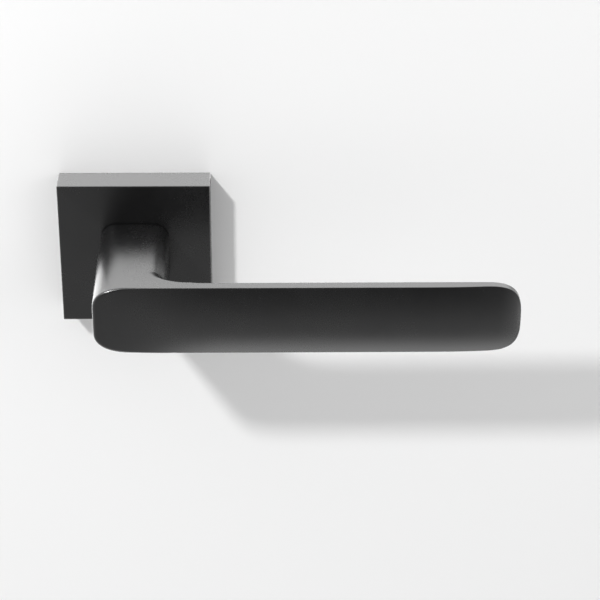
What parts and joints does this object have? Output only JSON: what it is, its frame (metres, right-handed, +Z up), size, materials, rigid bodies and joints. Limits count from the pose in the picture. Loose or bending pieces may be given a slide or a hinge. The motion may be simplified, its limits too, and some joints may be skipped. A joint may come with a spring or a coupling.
{
  "type": "door lever handle",
  "caption": "Straight flat lever handle with a rounded square neck on a square rose, with a sprung return, a square spindle and through-door fixings.",
  "frame": {"origin": "on the spindle axis, at the door face that the rose stands on", "axes": "+X along the lever to its free end, +Y into the door along the spindle, +Z up; the front of the handle faces -Y"},
  "size_m": [0.1543, 0.1226, 0.052],
  "materials": {
    "black_coat": "satin black coat",
    "zinc_plate": "zinc-plated steel, satin",
    "cast_zinc": "bare zinc alloy, dull",
    "spring_steel": "spring steel, bright",
    "nylon": "black nylon, matt"
  },
  "bodies": {
    "rose": {"return_spring": "spring_steel", "sliding_washer": "nylon", "rose_cover": "black_coat", "bearing_bush": "nylon", "base_plate": "zinc_plate", "cover_clips": "spring_steel", "clip_rivets": "zinc_plate", "spring_housing": "zinc_plate", "spring_cover": "zinc_plate", "housing_rivets": "zinc_plate", "stop_pins": "zinc_plate", "spring_anchor": "zinc_plate", "support_posts": "cast_zinc", "fixing_screws": "zinc_plate", "screw_washers": "zinc_plate", "wood_screws": "zinc_plate"},
    "lever": {"lever_handle": "black_coat", "spindle": "zinc_plate", "set_screw": "zinc_plate", "spindle_clip": "spring_steel", "driver_disc": "cast_zinc"}
  },
  "joints": [
    {"name": "lever_turn", "type": "hinge", "parent": "rose", "child": "lever", "pos_m": [0, 0, 0], "axis": [0, 1, 0], "range_deg": [0, 45], "stiffness_Nm_per_rad": 0.8, "springref_deg": -28.65, "deforming": ["return_spring"]}
  ]
}
